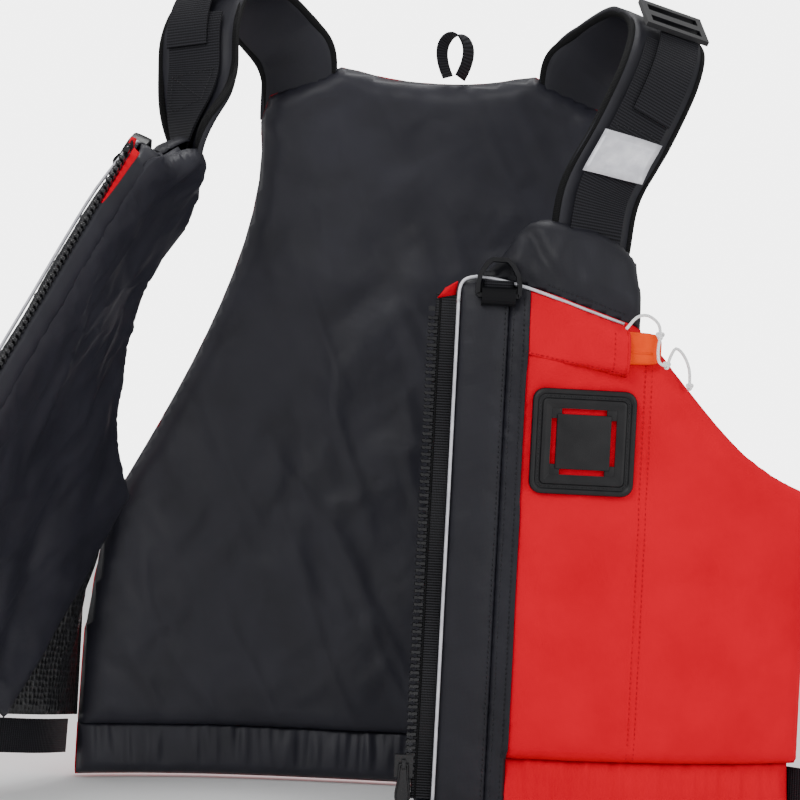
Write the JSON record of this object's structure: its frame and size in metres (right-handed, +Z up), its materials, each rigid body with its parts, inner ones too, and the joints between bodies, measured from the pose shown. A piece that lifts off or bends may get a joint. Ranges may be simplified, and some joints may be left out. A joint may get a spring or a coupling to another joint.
{
  "type": "life jacket",
  "caption": "Front-zip buoyancy vest with foam panels, shoulder straps, lash tabs, lash rings and a pocketed whistle; its right front swings open.",
  "frame": {"origin": "on the ground under the middle of the vest's box, with the vest standing on its hem", "axes": "+Z up towards the shoulders, -Y the way the wearer faces, +X the wearer's left"},
  "size_m": [0.6424, 0.4042, 0.605],
  "materials": {
    "red_nylon": "woven nylon, matt",
    "black_nylon": "woven nylon, slight sheen",
    "charcoal_lining": "smooth nylon lining, soft sheen",
    "foam": "closed-cell flotation foam",
    "webbing": "ribbed polyester webbing",
    "mesh_fabric": "open knitted mesh",
    "reflective": "retroreflective tape",
    "zip_plastic": "moulded acetal",
    "zip_tape": "ribbed woven tape",
    "black_plastic": "moulded acetal, satin",
    "tab_rubber": "moulded soft plastic, satin",
    "orange_plastic": "moulded ABS, glossy",
    "white_cord": "braided polyester"
  },
  "bodies": {
    "back": {"back_outer_panel": "red_nylon", "back_lining": "charcoal_lining", "back_foam_lower": "foam", "back_foam_upper": "foam", "back_hem_elastic": "webbing", "side_mesh_left": "mesh_fabric", "side_mesh_right": "mesh_fabric", "side_strap_left": "webbing", "side_strap_right": "webbing", "shoulder_pad_left": "black_nylon", "shoulder_pad_right": "black_nylon", "shoulder_webbing_left": "webbing", "shoulder_webbing_right": "webbing", "reflective_patch_left": "reflective"},
    "left_front": {"outer_panel_left": "red_nylon", "front_band_left": "black_nylon", "pocket_placket_left": "black_nylon", "shoulder_yoke_left": "black_nylon", "chest_foam_left": "foam", "yoke_foam_left": "foam", "front_lining_left": "charcoal_lining", "hem_elastic_left": "webbing", "reflective_piping_left": "reflective", "zip_teeth_left": "zip_plastic", "zip_tape_left": "zip_tape", "zip_end_left": "zip_plastic", "zip_top_stop_left": "reflective", "zip_facing_left": "red_nylon", "lash_tab_left": "tab_rubber", "ring_loop_left": "webbing", "whistle_pocket": "red_nylon"},
    "right_front": {"outer_panel_right": "red_nylon", "front_band_right": "black_nylon", "pocket_placket_right": "black_nylon", "shoulder_yoke_right": "black_nylon", "chest_foam_right": "foam", "yoke_foam_right": "foam", "front_lining_right": "charcoal_lining", "hem_elastic_right": "webbing", "reflective_piping_right": "reflective", "zip_teeth_right": "zip_plastic", "zip_tape_right": "zip_tape", "zip_end_right": "zip_plastic", "zip_top_stop_right": "reflective", "zip_facing_right": "red_nylon", "lash_tab_right": "tab_rubber", "ring_loop_right": "webbing"},
    "whistle": {"whistle": "orange_plastic", "whistle_cord": "white_cord"},
    "zip_slider": {"zip_slider": "zip_plastic", "zip_slider_arch": "zip_plastic"},
    "zip_pull": {"zip_pull": "zip_plastic"},
    "lash_ring_left": {"lash_ring_left": "black_plastic"},
    "lash_ring_right": {"lash_ring_right": "black_plastic"},
    "shoulder_adjuster_left": {"shoulder_adjuster_left": "black_plastic"},
    "shoulder_adjuster_right": {"shoulder_adjuster_right": "black_plastic"},
    "hang_loop": {"hang_loop": "webbing"}
  },
  "joints": [
    {"name": "right_front_swing", "type": "hinge", "parent": "back", "child": "right_front", "pos_m": [-0.21482, 0.08064, 0.18], "axis": [0.4, 0.03, 0.916], "range_deg": [-15, 95], "deforming": ["side_mesh_right", "side_strap_right", "shoulder_pad_right", "shoulder_webbing_right"]},
    {"name": "left_front_swing", "type": "hinge", "parent": "back", "child": "left_front", "pos_m": [0.27319, 0.08064, 0.18], "axis": [-0.4, 0.03, 0.916], "range_deg": [0, 95], "deforming": ["side_mesh_left", "side_strap_left", "shoulder_pad_left", "shoulder_webbing_left", "reflective_patch_left"]},
    {"name": "zip_slide", "type": "slide", "parent": "left_front", "child": "zip_slider", "axis": [0, 0, 1], "range_m": [0, 0.31]},
    {"name": "zip_pull_swing", "type": "hinge", "parent": "zip_slider", "child": "zip_pull", "pos_m": [0.02918, 0.01904, 0.038], "axis": [-1, 0, 0], "range_deg": [0, 165]},
    {"name": "whistle_draw", "type": "slide", "parent": "left_front", "child": "whistle", "axis": [0.9877, 0.1566, 0], "range_m": [0, 0.025]},
    {"name": "lash_ring_left_swing", "type": "hinge", "parent": "left_front", "child": "lash_ring_left", "pos_m": [0.07831, 0.01732, 0.37014], "axis": [0.9992, 0.0409, -0.0001], "range_deg": [0, 150]},
    {"name": "lash_ring_right_swing", "type": "hinge", "parent": "right_front", "child": "lash_ring_right", "pos_m": [-0.18646, -0.00774, 0.44367], "axis": [0.0781, -0.8986, 0.4317], "range_deg": [0, 150]},
    {"name": "shoulder_adjuster_left_tilt", "type": "hinge", "parent": "back", "child": "shoulder_adjuster_left", "pos_m": [0.20006, 0.08009, 0.5678], "axis": [0.9267, 0.3048, -0.2197], "range_deg": [0, 40]},
    {"name": "shoulder_adjuster_right_tilt", "type": "hinge", "parent": "back", "child": "shoulder_adjuster_right", "pos_m": [-0.14388, 0.09559, 0.59048], "axis": [0.8182, -0.5294, 0.2244], "range_deg": [0, 40]},
    {"name": "hang_loop_flop", "type": "hinge", "parent": "back", "child": "hang_loop", "pos_m": [0.04112, 0.16592, 0.53807], "axis": [1, 0, 0], "range_deg": [-45, 70]}
  ]
}
